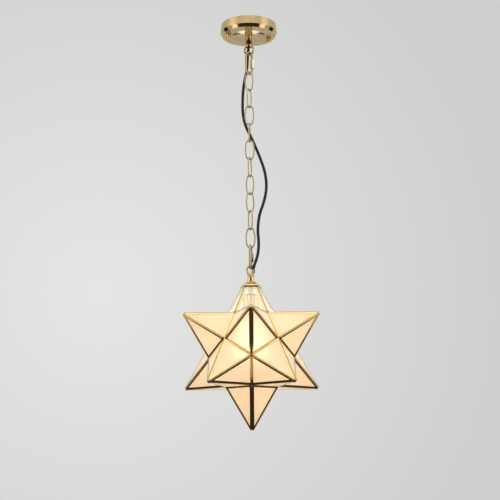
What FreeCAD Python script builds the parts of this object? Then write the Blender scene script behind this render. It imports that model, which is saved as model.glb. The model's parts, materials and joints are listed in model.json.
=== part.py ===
"""Moravian star pendant: a 12-point leaded glass star hung by two quick links and ten chain links.

Frame: the ceiling is the plane Z = 0, the drop hangs down the Z axis, and the front is -Y.
Lengths are millimetres and angles are degrees.
"""
import FreeCAD, Part
import math
import os

import Sketcher
from FreeCAD import Placement, Rotation, Vector

os.makedirs("parts", exist_ok=True)
doc = FreeCAD.newDocument("moravian_star_pendant")

# ---------------------------------------------------------------- driving sizes

SIZES = (
    # canopy: a spun brass pan that covers the ceiling box
    ("canopy_radius", 60.0),
    ("canopy_rim_radius", 58.0),
    ("canopy_depth", 24.0),
    ("canopy_wall", 1.2),
    ("bevel_width", 4.4),
    ("bevel_height", 6.6),
    ("dish_radius", 35.4),
    ("dish_depth", 3.0),
    ("hub_radius", 9.5),
    # crossbar, its studs and the thumb nuts, which stand on a turned line
    ("stud_spacing", 88.9),
    ("stud_radius", 2.0),
    ("box_screw_spacing", 70.0),
    ("box_screw_bore", 4.8),
    ("bar_length", 104.0),
    ("bar_width", 16.0),
    ("bar_thickness", 2.0),
    ("wire_hole_radius", 6.5),
    ("ground_screw_radius", 2.0),
    ("ground_head_radius", 3.8),
    ("ground_head_height", 2.4),
    ("ground_screw_reach", 20.0),
    ("stud_nut_across_corners", 8.1),
    ("thumb_nut_radius", 5.4),
    ("thumb_nut_height", 7.4),
    ("thumb_nut_gap", 0.1),
    # threaded tubes with their nuts
    ("nipple_radius", 5.0),
    ("flare_radius", 5.6),
    ("flare_depth", 10.0),
    ("mouth_gap", 1.0),
    ("locknut_across_corners", 18.0),
    ("locknut_height", 3.2),
    ("washer_radius", 10.0),
    ("washer_height", 0.8),
    ("nipple_above_nut", 1.5),
    ("bush_flange", 0.8),
    ("bush_height", 1.8),
    # cast loop under the canopy
    ("collar_radius", 8.0),
    ("collar_height", 4.0),
    ("waist_radius", 6.5),
    ("stem_foot_radius", 7.7),
    ("stem_foot_height", 3.0),
    ("stem_length", 27.0),
    ("loop_thread_depth", 12.5),
    ("ring_flat", 1.2),
    ("top_ring_wire", 4.3),
    ("top_ring_width", 23.5),
    # quick links
    ("quick_link_wire", 4.6),
    ("quick_link_width", 21.5),
    ("quick_link_length", 52.0),
    ("quick_link_flat", 2.0),
    ("sleeve_length", 18.3),
    ("sleeve_across_corners", 9.2),
    ("sleeve_travel", 6.5),
    ("gate_gap", 4.8),
    # chain
    ("link_wire", 3.0),
    ("link_width", 20.8),
    ("link_length", 43.7),
    ("link_end_radius", 6.2),
    ("link_end_flat", 1.2),
    # cord
    ("cord_radius", 2.95),
    ("core_radius", 1.8),
    ("core_tail", 3.0),
    ("lead_radius", 1.0),
    ("lead_offset", 1.45),
    ("lead_rise", 0.6),
    ("lead_bend", 3.2),
    ("lead_reach", 20.0),
    ("connector_radius", 3.4),
    ("connector_tip_radius", 2.2),
    ("connector_length", 13.0),
    # cast loop on the star
    ("star_ring_wire", 3.8),
    ("star_ring_width", 20.5),
    ("star_stem_radius", 7.1),
    ("star_stem_length", 14.6),
    ("star_thread_depth", 8.0),
    ("flange_radius", 8.4),
    ("flange_height", 2.6),
    # pentagonal cap
    ("cap_height", 11.2),
    ("cap_rim_radius", 23.0),
    ("cap_wall", 1.0),
    # star: blunt tip radius, and how far short of a sharp tip it ends
    ("star_radius", 158.0),
    ("tip_blunt", 5.7),
    ("tip_bead_radius", 4.3),
    ("tip_bead_height", 1.5),
    ("crown_short", 29.4),
    ("came_thickness", 3.0),
    ("came_face", 3.2),
    ("came_web", 0.8),
    ("glass_thickness", 2.0),
    ("bead_bulge", 0.45),
    ("bead_stop", 3.0),
    # lampholder and lamp
    ("holder_top", 116.0),
    ("holder_radius", 17.0),
    ("holder_length", 50.0),
    ("nipple_in_holder", 4.0),
    ("holder_wall", 0.8),
    ("holder_cap_height", 14.0),
    ("screw_shell_radius", 14.0),
    ("screw_shell_wall", 0.6),
    ("liner_fit", 0.1),
    ("liner_wall", 0.9),
    ("liner_lip", 1.0),
    ("liner_block_height", 5.0),
    ("contact_radius", 4.0),
    ("contact_height", 2.6),
    ("lamp_radius", 30.0),
    ("lamp_neck_radius", 11.4),
    ("lamp_centre", 12.0),
    ("lamp_wall", 1.0),
    ("lamp_base_radius", 13.0),
    ("lamp_base_wall", 0.8),
    ("eyelet_radius", 4.3),
    ("eyelet_height", 2.5),
    ("eyelet_seat", 1.0),
    ("lamp_skirt_height", 6.0),
    ("lamp_shoulder_height", 3.4),
    ("lamp_gap", 0.1),
    # clearances
    ("contact_gap", 0.25),
    ("slip_fit", 0.2),
    ("cord_fit", 0.4),
    ("thread_fit", 0.05),
    ("glass_fit", 0.1),
)

# Sizes that follow from those above: the cord's way through the threaded tubes, and the
# height of the crown, which is cut off short of its sharp tip.
TIED_SIZES = (
    ("nipple_bore_radius", "=cord_radius + cord_fit"),
    ("crown_height", "=star_radius - crown_short"),
)

sheet = doc.addObject("Spreadsheet::Sheet", "dims")
for row, (alias, entry) in enumerate(SIZES + TIED_SIZES, 1):
    sheet.set(f"A{row}", alias)
    sheet.set(f"B{row}", str(entry))
    sheet.setAlias(f"B{row}", alias)
doc.recompute()


def value(text):
    """The number that an expression of the sheet stands for."""
    return float(sheet.evalExpression(text))


def size(alias):
    """One driving size."""
    return value("dims." + alias)


# The turn of each ring about Z, which is where its plane points, from +X.
CROSSBAR_TURN = 17.5
TOP_RING_TURN = -15.0
QUICK_LINK_TURNS = {"upper": 40.0, "lower": 78.0}
LINK_TURNS = (-27.0, 62.0, -5.0, 82.0, -4.0, 69.0, -32.0, 32.0, -64.0, 0.0)
STAR_RING_TURN = 25.0
LEAD_TURNS = (90.0, 225.0, 315.0)  # from the crossbar's line

# How far each stud reaches into its thumb nut, as a share of the nut's height.
STUD_GRIP = 0.6

# A bell mouth, from its wide end, where the cord leaves a cast loop.
FLARE = {"Radius1": "dims.flare_radius", "Radius2": "dims.nipple_bore_radius", "Height": "dims.flare_depth"}

X, Y, Z = Vector(1, 0, 0), Vector(0, 1, 0), Vector(0, 0, 1)
ORIGIN = Vector(0, 0, 0)
UPRIGHT = Rotation(X, 90)  # turns a shape drawn in XY into the XZ plane
SUB_PARTS = []


def at(z, turn=0.0):
    """A place on the drop's axis, turned about it."""
    return Placement(Vector(0, 0, z), Rotation(Z, turn))


def sub_part(obj, label, place=None):
    """Names a finished piece and puts it where it belongs."""
    obj.Label = label
    if place is not None:
        obj.Placement = place
    SUB_PARTS.append(obj)
    return obj


# ---------------------------------------------------------------- building blocks


def primitive(kind, name, place=None, **texts):
    """A Part primitive whose sizes are expressions of the sheet."""
    obj = doc.addObject("Part::" + kind, name)
    for prop, text in texts.items():
        obj.setExpression(prop, text)
    if place is not None:
        obj.Placement = place
    return obj


def cylinder(name, radius, height, place=None):
    return primitive("Cylinder", name, place, Radius=radius, Height=height)


def hexagon(name, across_corners, height, place=None):
    prism = primitive("Prism", name, place, Circumradius=f"({across_corners}) / 2", Height=height)
    prism.Polygon = 6
    return prism


def cut(name, base, tool):
    obj = doc.addObject("Part::Cut", name)
    obj.Base = base
    obj.Tool = tool
    return obj


def common(name, base, tool):
    obj = doc.addObject("Part::Common", name)
    obj.Base = base
    obj.Tool = tool
    return obj


def fuse(name, pieces):
    obj = doc.addObject("Part::MultiFuse", name)
    obj.Shapes = pieces
    return obj


def compound(name, pieces):
    obj = doc.addObject("Part::Compound", name)
    obj.Links = pieces
    return obj


def outline(body, plane_role, corners, arcs=(), hollows=()):
    """A closed sketch through corners, each a pair of expressions.

    Arcs are (first corner, radius): they swell out of the outline, and hollows cave into it.
    """
    sketch = body.newObject("Sketcher::SketchObject", body.Name + "_outline")
    plane = next(f for f in body.Origin.OriginFeatures if f.Role == plane_role)
    sketch.AttachmentSupport = (plane, [""])
    sketch.MapMode = "FlatFace"
    points = [Vector(value(across), value(up), 0) for across, up in corners]
    hollow = dict(hollows)
    rounded = {**dict(arcs), **hollow}
    # a sketch keeps each arc counter-clockwise, so a hollow one starts at its far corner
    ends = [(2, 1) if n in hollow else (1, 2) for n in range(len(points))]
    for n, start in enumerate(points):
        end = points[(n + 1) % len(points)]
        if n in hollow:
            sketch.addGeometry(arc_between(end, start, value(rounded[n])))
        elif n in rounded:
            sketch.addGeometry(arc_between(start, end, value(rounded[n])))
        else:
            sketch.addGeometry(Part.LineSegment(start, end))
    for n in range(len(points)):
        after = (n + 1) % len(points)
        sketch.addConstraint(Sketcher.Constraint("Coincident", n, ends[n][1], after, ends[after][0]))
    for n, (across, up) in enumerate(corners):
        corner = ends[n][0]
        for kind, axis, text, number in (
            ("DistanceX", -2, across, points[n].x),
            ("DistanceY", -1, up, points[n].y),
        ):
            if abs(number) < 1e-9:
                sketch.addConstraint(Sketcher.Constraint("PointOnObject", n, corner, axis))
                continue
            index = sketch.addConstraint(Sketcher.Constraint(kind, -1, 1, n, corner, number))
            sketch.setExpression(f"Constraints[{index}]", text)
    for n, radius in rounded.items():
        index = sketch.addConstraint(Sketcher.Constraint("Radius", n, value(radius)))
        sketch.setExpression(f"Constraints[{index}]", radius)
    return sketch


def arc_between(start, end, radius):
    """The short counter-clockwise arc from start to end."""
    middle = (start + end) * 0.5
    half = (end - start).Length / 2
    normal = Vector(start.y - end.y, end.x - start.x, 0).normalize()
    centre = middle + normal * math.sqrt(radius**2 - half**2)
    crown = centre - normal * radius
    return Part.Arc(start, crown, end)


def turned(name, corners, arcs=(), hollows=()):
    """A piece turned about Z from its half section: pairs of radius and height."""
    body = doc.addObject("PartDesign::Body", name)
    sketch = outline(body, "XZ_Plane", corners, arcs, hollows)
    turn = body.newObject("PartDesign::Revolution", name + "_turn")
    turn.Profile = sketch
    turn.ReferenceAxis = (sketch, ["V_Axis"])
    turn.Angle = 360.0
    body.Tip = turn
    return body


def plate(name, corners, thickness):
    """A flat piece padded up from the XY plane."""
    body = doc.addObject("PartDesign::Body", name)
    sketch = outline(body, "XY_Plane", corners)
    pad = body.newObject("PartDesign::Pad", name + "_pad")
    pad.Profile = sketch
    pad.setExpression("Length", thickness)
    body.Tip = pad
    return body


def torus_part(name, centre, major, minor, start, sweep):
    """A length of round wire bent in the XZ plane about centre, from the start angle."""
    arc = primitive("Torus", name, Placement(centre, UPRIGHT * Rotation(Z, start)))
    arc.setExpression("Radius1", major)
    arc.setExpression("Radius2", minor)
    arc.Angle3 = sweep
    return arc


def straight_part(name, start, direction, length, radius):
    """A straight length of round wire."""
    place = Placement(start, Rotation(Z, direction))
    return cylinder(name, radius, length, place)


def oval_pieces(name, width, length, wire, end_radius, flat, bulged=True):
    """The arcs and straights of a closed oval of round wire in the XZ plane.

    Its ends are arcs with a short flat between them, and its sides are flatter arcs, or straight.
    """
    across = value(f"(({width}) - ({wire})) / 2")
    along = value(f"(({length}) - ({wire})) / 2")
    bend = value(end_radius)
    half_flat = value(flat) / 2
    thick = f"({wire}) / 2"
    side = across - half_flat
    if bulged:
        side_radius = (side**2 - bend**2 + (along - bend) ** 2) / (2 * (side - bend))
        tangent = math.degrees(math.atan2(along - bend, side_radius - side))
    else:
        tangent = 0.0
    made = []
    for up in (1, -1):
        made.append(straight_part(f"{name}_flat", Vector(-half_flat, 0, up * along), X, flat, thick))
        for right in (1, -1):
            centre = Vector(right * half_flat, 0, up * (along - bend))
            angles = {(1, 1): tangent, (-1, 1): 90, (-1, -1): 180 + tangent, (1, -1): 270}
            start = angles[right, up]
            made.append(
                torus_part(f"{name}_end", centre, end_radius, thick, start, 90 - tangent)
            )
    for right in (1, -1):
        if bulged:
            centre = Vector(right * (across - side_radius), 0, 0)
            start = -tangent if right == 1 else 180 - tangent
            bow = torus_part(f"{name}_side", centre, str(side_radius), thick, start, 2 * tangent)
            made.append(bow)
        else:
            low = Vector(right * across, 0, bend - along)
            made.append(straight_part(f"{name}_side", low, Z, str(2 * (along - bend)), thick))
    return made


def nut(name, across_corners, height, bore_radius):
    """A hexagonal nut with bevelled corners and a plain bore, standing on Z = 0."""
    bevel = f"({across_corners}) * 0.07"
    outer = f"({across_corners}) / 2"
    blank = turned(
        name + "_blank",
        [
            (bore_radius, "0"),
            (f"{outer} - {bevel}", "0"),
            (outer, f"{bevel} * 0.6"),
            (outer, f"({height}) - {bevel} * 0.6"),
            (f"{outer} - {bevel}", height),
            (bore_radius, height),
        ],
    )
    prism = hexagon(name + "_hex", across_corners, height)
    return common(name, prism, blank)


# ---------------------------------------------------------------- levels down the drop


def wire_centres():
    """Heights of each ring's top and bottom wire centres, from the canopy loop to the star."""
    gap = size("contact_gap")
    levels = {}
    seat = -size("canopy_depth") + size("dish_depth")
    ring_wire = size("top_ring_wire")
    ring_half = (size("top_ring_width") - ring_wire) / 2
    ring_top = seat - size("stem_length") + ring_wire / 2
    levels["top_ring"] = (ring_top, ring_top - 2 * ring_half)
    above, above_wire = levels["top_ring"][1], ring_wire
    chain = [("upper", "quick_link")]
    chain += [(n, "link") for n in range(1, len(LINK_TURNS) + 1)]
    chain += [("lower", "quick_link")]
    for key, kind in chain:
        wire = size(kind + "_wire")
        top = above + (above_wire + wire) / 2 + gap
        bottom = top - (size(kind + "_length") - wire)
        levels[key] = (top, bottom)
        above, above_wire = bottom, wire
    wire = size("star_ring_wire")
    top = above + (above_wire + wire) / 2 + gap
    levels["star_ring"] = (top, top - (size("star_ring_width") - wire))
    return levels


LEVELS = wire_centres()
STAR_STEM_TOP = LEVELS["star_ring"][1]
FLANGE_FOOT = STAR_STEM_TOP - size("star_stem_length") - size("flange_height")
CAP_RIM = FLANGE_FOOT - size("cap_height")
STAR_CENTRE = CAP_RIM - size("crown_height")
CANOPY_SEAT = -size("canopy_depth") + size("dish_depth")
HUB_INSIDE = CANOPY_SEAT + size("canopy_wall")
HOLDER_TOP = STAR_CENTRE + size("holder_top")


# ---------------------------------------------------------------- canopy


def stud_places(z):
    """Where the two studs stand, at a height."""
    reach = size("stud_spacing") / 2
    turn = Rotation(Z, CROSSBAR_TURN)
    return [Placement(turn.multVec(Vector(side * reach, 0, z)), Rotation()) for side in (-1, 1)]


def make_canopy():
    """The pan: a wall that flares a little, a bevel, a flat ring and a shallow dish in its middle."""
    wall = "dims.canopy_wall"
    outer, rim, depth = "dims.canopy_radius", "dims.canopy_rim_radius", "dims.canopy_depth"
    bevel_foot = f"{outer} - dims.bevel_width"
    bore = "dims.nipple_radius + dims.thread_fit"
    dish_curve = "(dims.dish_radius ^ 2 - dims.hub_radius ^ 2) / (2 * dims.dish_depth)"
    pan = turned(
        "canopy_pan",
        [
            (rim, depth),
            (f"{rim} - {wall}", depth),
            (f"{outer} - {wall}", f"dims.bevel_height + {wall} * 0.4"),
            (f"{bevel_foot} - {wall} * 0.4", wall),
            ("dims.dish_radius", wall),
            ("dims.hub_radius", f"dims.dish_depth + {wall}"),
            (bore, f"dims.dish_depth + {wall}"),
            (bore, "dims.dish_depth"),
            ("dims.hub_radius", "dims.dish_depth"),
            ("dims.dish_radius", "0"),
            (bevel_foot, "0"),
            (outer, "dims.bevel_height"),
        ],
        arcs=[(4, dish_curve)],
        hollows=[(8, dish_curve)],
    )
    pan.Placement = at(-size("canopy_depth"))
    hole_foot = -size("canopy_depth") - size("canopy_wall")
    holes = [
        cylinder("stud_hole", "dims.stud_radius + dims.slip_fit", depth, place)
        for place in stud_places(hole_foot)
    ]
    sub_part(cut("canopy", pan, compound("stud_holes", holes)), "canopy_shell")


def make_crossbar():
    bar = primitive(
        "Box", "bar", Length="dims.bar_length", Width="dims.bar_width", Height="dims.bar_thickness"
    )
    corner = Vector(-size("bar_length") / 2, -size("bar_width") / 2, 0)
    bar.Placement = Placement(corner, Rotation())
    tools = [cylinder("wire_hole", "dims.wire_hole_radius", "dims.bar_thickness")]
    for side in (-1, 1):
        box_place = Placement(Vector(side * size("box_screw_spacing") / 2, 0, 0), Rotation())
        stud_place = Placement(Vector(side * size("stud_spacing") / 2, 0, 0), Rotation())
        tools.append(
            cylinder("box_hole", "dims.box_screw_bore / 2", "dims.bar_thickness", box_place)
        )
        tools.append(
            cylinder("tapped", "dims.stud_radius + dims.thread_fit", "dims.bar_thickness", stud_place)
        )
    ground_place = Placement(Vector(size("ground_screw_reach"), 0, 0), Rotation())
    ground_bore = "dims.ground_screw_radius + dims.thread_fit"
    tools.append(cylinder("ground_hole", ground_bore, "dims.bar_thickness", ground_place))
    crossbar = cut("crossbar_cut", bar, compound("bar_holes", tools))
    sub_part(crossbar, "crossbar", at(-size("bar_thickness"), CROSSBAR_TURN))

    shank, head = "dims.ground_screw_radius", "dims.ground_head_radius"
    head_height = "dims.ground_head_height"
    tip = f"{head_height} + dims.bar_thickness"
    screw = turned(
        "ground_screw_turn",
        [
            ("0", "0"),
            (f"{head} * 0.7", "0"),
            (head, f"{head_height} * 0.45"),
            (head, head_height),
            (shank, head_height),
            (shank, tip),
            ("0", tip),
        ],
    )
    foot = -size("bar_thickness") - size("ground_head_height")
    spot = Rotation(Z, CROSSBAR_TURN).multVec(Vector(size("ground_screw_reach"), 0, foot))
    sub_part(screw, "ground_screw", Placement(spot, Rotation()))


def make_studs():
    """Studs run from the crossbar through the canopy's face into the thumb nuts."""
    depth = size("canopy_depth")
    foot = -depth - size("thumb_nut_height") * STUD_GRIP
    length = f"dims.canopy_depth + dims.thumb_nut_height * {STUD_GRIP}"
    studs = [cylinder("stud", "dims.stud_radius", length, place) for place in stud_places(foot)]
    sub_part(compound("studs", studs), "canopy_studs")

    locknuts = []
    for place in stud_places(-size("bar_thickness") - size("locknut_height")):
        bore = "dims.stud_radius + dims.thread_fit"
        locknut = nut("stud_nut", "dims.stud_nut_across_corners", "dims.locknut_height", bore)
        locknut.Placement = place
        locknuts.append(locknut)
    sub_part(compound("stud_nuts", locknuts), "stud_locknuts")

    height, radius = "dims.thumb_nut_height", "dims.thumb_nut_radius"
    bore = "dims.stud_radius + dims.slip_fit"
    nut_foot = -depth - size("thumb_nut_height") - size("thumb_nut_gap")
    for side, place in zip(("left", "right"), stud_places(nut_foot)):
        thumb = turned(
            f"thumb_{side}",
            [
                ("0", "0"),
                (f"{radius} * 0.5", "0"),
                (f"{radius} * 0.84", f"{height} * 0.1"),
                (radius, f"{height} * 0.3"),
                (radius, f"{height} * 0.86"),
                (f"{radius} * 0.86", height),
                (bore, height),
                (bore, f"{height} * 0.3"),
                ("0", f"{height} * 0.3"),
            ],
        )
        sub_part(thumb, f"thumb_nut_{side}", place)


def make_canopy_fittings():
    """The threaded tube that holds the loop to the canopy, with its washer, nut and cord bush."""
    washer_foot = HUB_INSIDE
    nut_foot = washer_foot + size("washer_height")
    tube_top = nut_foot + size("locknut_height") + size("nipple_above_nut")
    tube_foot = CANOPY_SEAT - size("loop_thread_depth") + size("contact_gap")
    bore = "dims.nipple_radius + dims.thread_fit"

    washer = cut(
        "washer_cut",
        cylinder("washer_disc", "dims.washer_radius", "dims.washer_height"),
        cylinder("washer_hole", bore, "dims.washer_height"),
    )
    sub_part(washer, "canopy_washer", at(washer_foot))

    locknut = nut("canopy_nut", "dims.locknut_across_corners", "dims.locknut_height", bore)
    sub_part(locknut, "canopy_locknut", at(nut_foot))

    length = str(tube_top - tube_foot)
    tube = cut(
        "canopy_tube",
        cylinder("tube_outside", "dims.nipple_radius", length),
        cylinder("tube_inside", "dims.nipple_bore_radius", length),
    )
    sub_part(tube, "canopy_nipple", at(tube_foot))

    flange = "dims.nipple_radius + dims.bush_flange"
    cord_hole = "dims.cord_radius + dims.slip_fit"
    bush = turned(
        "bush_turn",
        [
            (cord_hole, "0"),
            (flange, "0"),
            (flange, "dims.bush_height * 0.5"),
            (f"{flange} - dims.bush_height * 0.6", "dims.bush_height"),
            (cord_hole, "dims.bush_height"),
        ],
    )
    sub_part(bush, "cord_bush", at(tube_top))
    return tube_top + size("bush_height")


def make_canopy_loop():
    """Turned stem with a cast ring under it, bored for the threaded tube and the cord."""
    length, foot = "dims.stem_length", "dims.stem_foot_radius"
    waist, collar = "dims.waist_radius", "dims.collar_radius"
    collar_foot = f"{length} - dims.collar_height"
    stem = turned(
        "stem",
        [
            ("0", "0"),
            (f"{foot} * 0.86", "0"),
            (foot, "dims.stem_foot_height * 0.6"),
            (foot, "dims.stem_foot_height"),
            (waist, f"{length} * 0.5"),
            (waist, f"{length} * 0.68"),
            (f"{waist} + ({collar} - {waist}) * 0.4", f"{collar_foot} - dims.collar_height * 0.25"),
            (collar, collar_foot),
            (collar, length),
            ("0", length),
        ],
    )
    stem_foot = CANOPY_SEAT - size("stem_length")
    stem.Placement = at(stem_foot)
    top, bottom = LEVELS["top_ring"]
    ring = fuse("top_ring", ring_pieces("top_ring"))
    ring.Placement = at((top + bottom) / 2, TOP_RING_TURN)
    casting = fuse("loop_casting", [stem, ring])
    thread = cylinder("loop_thread", "dims.nipple_radius + dims.thread_fit", "dims.loop_thread_depth")
    thread.Placement = at(CANOPY_SEAT - size("loop_thread_depth"))
    passage = cylinder("loop_passage", "dims.nipple_bore_radius", length)
    passage.Placement = at(stem_foot - size("mouth_gap"))
    flare = primitive("Cone", "loop_flare", at(stem_foot - size("mouth_gap")), **FLARE)
    bores = fuse("loop_bores", [thread, passage, flare])
    sub_part(cut("loop_bored", casting, bores), "canopy_loop")


def ring_pieces(key):
    """A cast ring's wire: nearly round, with a short flat at its top and bottom."""
    width, wire = f"dims.{key}_width", f"dims.{key}_wire"
    bend = f"({width} - {wire} - dims.ring_flat) / 2"
    return oval_pieces(key, width, width, wire, bend, "dims.ring_flat", bulged=False)


# ---------------------------------------------------------------- chain


def make_quick_link(which):
    """An oval of wire open on its right side, where a threaded sleeve closes the gap."""
    top, bottom = LEVELS[which]
    middle = (top + bottom) / 2
    turn = QUICK_LINK_TURNS[which]
    wire = "dims.quick_link_wire"
    reach = "(dims.quick_link_width - dims.quick_link_wire) / 2"
    flat = "dims.quick_link_flat"
    name = f"quick_{which}"
    arcs = oval_pieces(
        name,
        "dims.quick_link_width",
        "dims.quick_link_length",
        wire,
        f"{reach} - {flat} / 2",
        flat,
        bulged=False,
    )
    # slid down by its travel, the sleeve bares the gate
    gate_foot = value("dims.sleeve_length / 2 - dims.sleeve_travel + dims.thread_fit")
    slot_place = Placement(Vector(value(reach), 0, gate_foot), Rotation())
    slot = cylinder(name + "_slot", wire, "dims.gate_gap", slot_place)
    link = cut(name + "_open", fuse(name + "_oval", arcs), slot)
    sub_part(link, f"quick_link_{which}", at(middle, turn))

    sleeve = nut(
        name + "_nut", "dims.sleeve_across_corners", "dims.sleeve_length", f"{wire} / 2 + dims.slip_fit"
    )
    foot = Placement(Vector(value(reach), 0, -size("sleeve_length") / 2), Rotation())
    sub_part(sleeve, f"quick_link_sleeve_{which}", at(middle, turn) * foot)


def make_chain():
    for n, turn in enumerate(LINK_TURNS, 1):
        top, bottom = LEVELS[n]
        arcs = oval_pieces(
            f"link_{n:02d}",
            "dims.link_width",
            "dims.link_length",
            "dims.link_wire",
            "dims.link_end_radius",
            "dims.link_end_flat",
        )
        link = fuse(f"link_{n:02d}_oval", arcs)
        sub_part(link, f"chain_link_{n:02d}", at((top + bottom) / 2, turn))


# ---------------------------------------------------------------- cord


# How much of the shorter run at a corner each side of its arc takes.
ARC_SHARE = 0.45


def route_edges(points):
    """Straight runs joined by tangent arcs, as large as the two runs at each corner allow."""
    edges = []
    start = points[0]
    for before, corner, after in zip(points, points[1:], points[2:]):
        run_in = (corner - before).normalize()
        run_out = (after - corner).normalize()
        shorter = min((corner - before).Length, (after - corner).Length)
        half_turn = run_in.getAngle(run_out) / 2
        reach = ARC_SHARE * shorter
        radius = reach / math.tan(half_turn)
        inward = (run_out - run_in).normalize()
        sagitta = radius / math.cos(half_turn) - radius
        first = corner - run_in * reach
        last = corner + run_out * reach
        edges.append(Part.LineSegment(start, first).toShape())
        edges.append(Part.Arc(first, corner + inward * sagitta, last).toShape())
        print(f"  bend at z {corner.z:.0f}: radius {radius:.0f}")
        start = last
    edges.append(Part.LineSegment(start, points[-1]).toShape())
    return edges


def tube_along(points, radius):
    """A round tube along a route of straight runs and tangent arcs."""
    path = Part.Wire(route_edges(points))
    ring = Part.Wire(Part.Circle(points[0], points[1] - points[0], radius).toShape())
    tube = Part.Wire(path).makePipeShell([ring], True, True)
    section = math.pi * radius**2
    filled = tube.Volume / section / path.Length
    print(f"  route {path.Length:.1f} mm, volume / (section x length) {filled:.4f}")
    return tube


# The cord hangs slack beside the chain: down behind the upper quick link, left of links 1 to 3,
# through link 4, out to the right of links 6 to 8, and back in to the star's ring.
CORD_ROUTE = (
    (0.0, 0.0, -27.0),
    (0.0, 0.25, -44.5),
    (-2.6, 8.4, -65.0),
    (-4.0, 9.6, -96.0),
    (-11.4, 9.4, -126.0),
    (-14.2, 7.2, -163.0),
    (-13.8, 6.0, -199.0),
    (-6.6, 5.4, -225.0),
    (3.0, 2.6, -245.0),
    (12.8, 6.0, -267.0),
    (22.6, 4.4, -293.0),
    (31.6, 2.8, -321.0),
    (34.8, 1.8, -354.0),
    (28.8, 1.2, -385.0),
    (18.4, 1.0, -412.0),
    (14.6, 0.4, -444.0),
    (17.4, -1.0, -474.0),
    (14.3, -4.6, -500.0),
    (7.9, -6.2, -517.5),
    (4.7, -4.0, -527.4),
)
# The jacket ends in the star's ring, and the bare core goes on into its stem.
CORE_ROUTE = (
    (4.7, -4.0, -527.4),
    (-0.5, -0.42, -543.5),
    (0.1, -0.35, -562.3),
)


def make_cord(cord_top):
    top = Vector(0, 0, cord_top)
    points = [top] + [Vector(*p) for p in CORD_ROUTE]
    print("cord")
    cord = doc.addObject("Part::Feature", "cord_tube")
    cord.Shape = tube_along(points, size("cord_radius"))
    sub_part(cord, "cord")

    core_foot = Vector(0.05, 0, HOLDER_TOP - size("core_tail"))
    points = [Vector(*p) for p in CORE_ROUTE] + [core_foot]
    print("core")
    core = doc.addObject("Part::Feature", "core_tube")
    core.Shape = tube_along(points, size("core_radius"))
    sub_part(core, "cord_core")


def make_leads(cord_top):
    """Three leads fan out from the cord's end inside the canopy, to twist-on connectors."""
    start, rise = size("lead_offset"), size("lead_rise")
    bend, reach = size("lead_bend"), size("lead_reach")
    level = rise + bend
    lean = bend * math.sqrt(0.5)
    leads = []
    connectors = []
    for turn in LEAD_TURNS:
        foot, knee = Vector(start, 0, 0), Vector(start, 0, rise)
        middle = Vector(start + bend - lean, 0, rise + lean)
        elbow, end = Vector(start + bend, 0, level), Vector(reach, 0, level)
        edges = [Part.LineSegment(foot, knee), Part.Arc(knee, middle, elbow), Part.LineSegment(elbow, end)]
        path = Part.Wire([edge.toShape() for edge in edges])
        ring = Part.Wire(Part.Circle(foot, Z, size("lead_radius")).toShape())
        lead = path.makePipeShell([ring], True, True)
        place = Placement(Vector(0, 0, cord_top), Rotation(Z, CROSSBAR_TURN + turn))
        lead.Placement = place
        leads.append(lead)
        cone = primitive(
            "Cone",
            "connector_cone",
            Radius1="dims.connector_radius",
            Radius2="dims.connector_tip_radius",
            Height="dims.connector_length",
        )
        drop = size("connector_radius") - size("lead_radius") + size("slip_fit")
        cone.Placement = place * Placement(Vector(reach, 0, level - drop), Rotation(Z, X))
        connectors.append(cone)
    tubes = doc.addObject("Part::Feature", "leads_tubes")
    tubes.Shape = Part.Compound(leads)
    sub_part(tubes, "supply_leads")
    sub_part(compound("connector_cones", connectors), "wire_connectors")


# ---------------------------------------------------------------- top of the star


def make_star_loop():
    """Cast ring on a stem with a flange, which sits on the cap."""
    length, flange = "dims.star_stem_length", "dims.flange_height"
    stem_top = f"{flange} + {length} + dims.star_ring_wire / 2"
    stem = turned(
        "star_stem",
        [
            ("0", "0"),
            ("dims.flange_radius", "0"),
            ("dims.flange_radius", f"{flange} * 0.55"),
            ("dims.star_stem_radius", flange),
            ("dims.star_stem_radius * 0.94", f"{flange} + {length} * 0.55"),
            ("dims.star_stem_radius", f"{flange} + {length}"),
            ("dims.star_stem_radius * 0.9", stem_top),
            ("0", stem_top),
        ],
    )
    stem.Placement = at(FLANGE_FOOT)
    top, bottom = LEVELS["star_ring"]
    ring = fuse("star_ring", ring_pieces("star_ring"))
    ring.Placement = at((top + bottom) / 2, STAR_RING_TURN)
    casting = fuse("star_loop_casting", [stem, ring])
    thread = cylinder("star_thread", "dims.nipple_radius + dims.thread_fit", "dims.star_thread_depth")
    thread.Placement = at(FLANGE_FOOT)
    mouth = FLANGE_FOOT + value(stem_top) + size("mouth_gap")
    passage = cylinder("star_passage", "dims.nipple_bore_radius", stem_top, at(FLANGE_FOOT))
    flare = primitive("Cone", "star_flare", at(mouth) * Placement(ORIGIN, Rotation(X, 180)), **FLARE)
    bores = fuse("star_loop_bores", [thread, passage, flare])
    sub_part(cut("star_loop_bored", casting, bores), "star_loop")

    foot = HOLDER_TOP - size("nipple_in_holder")
    top = FLANGE_FOOT + size("star_thread_depth") - size("contact_gap")
    tube_length = str(top - foot)
    tube = cut(
        "star_tube",
        cylinder("star_tube_outside", "dims.nipple_radius", tube_length),
        cylinder("star_tube_inside", "dims.nipple_bore_radius", tube_length),
    )
    sub_part(tube, "star_nipple", at(foot))


# The vault's profile: shares of the cap's height and of its rim radius.
VAULT_PROFILE = ((0.0, 1.0), (0.35, 0.955), (0.62, 0.86), (0.83, 0.715), (1.0, 0.5))


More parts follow.
